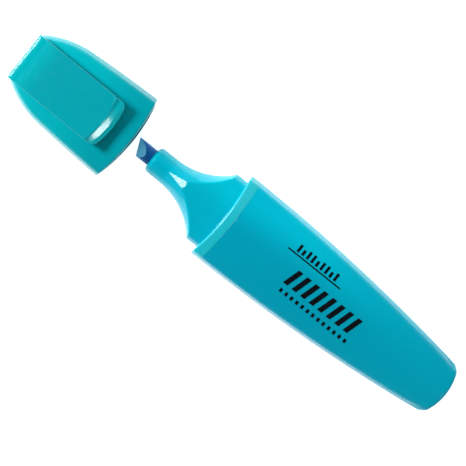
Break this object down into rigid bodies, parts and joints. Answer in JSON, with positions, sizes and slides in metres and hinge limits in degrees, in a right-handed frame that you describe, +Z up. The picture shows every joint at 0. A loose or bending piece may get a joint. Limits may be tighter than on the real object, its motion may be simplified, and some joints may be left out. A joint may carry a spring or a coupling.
{
  "type": "capped highlighter",
  "caption": "Flat chisel-tip highlighter with a tapering barrel, a flared nose and a pull-off cap with a broad sprung pocket clip.",
  "frame": {"origin": "middle of the footprint, on the surface that the pen lies on", "axes": "+X along the pen from the tail to the nib and on to the cap, +Z up out of the printed face, with the round belly down"},
  "size_m": [0.1518, 0.0278, 0.0199],
  "materials": {
    "barrel_plastic": "satin moulded polypropylene, cyan",
    "nose_plastic": "satin moulded polypropylene, light cyan",
    "cap_plastic": "satin moulded polypropylene, cyan",
    "seal_plastic": "natural soft polyethylene",
    "nib_fibre": "bonded polyester fibre, wet with blue ink",
    "core_fibre": "bundled polyester fibre soaked in ink",
    "film": "clear thin film"
  },
  "bodies": {
    "pen": {"barrel": "barrel_plastic", "nose_section": "nose_plastic", "nib": "nib_fibre", "reservoir_core": "core_fibre", "reservoir_wrap": "film"},
    "cap": {"cap_shell": "cap_plastic", "inner_cap": "seal_plastic"},
    "clip": {"cap_clip": "cap_plastic"}
  },
  "joints": [
    {"name": "cap_slide", "type": "slide", "parent": "pen", "child": "cap", "axis": [1, 0, 0], "range_m": [-0.03375, 0.015]},
    {"name": "clip_flex", "type": "hinge", "parent": "cap", "child": "clip", "pos_m": [0.07337, 0, 0.01565], "axis": [0, 1, 0], "range_deg": [0, 5], "stiffness_Nm_per_rad": 1.3}
  ]
}
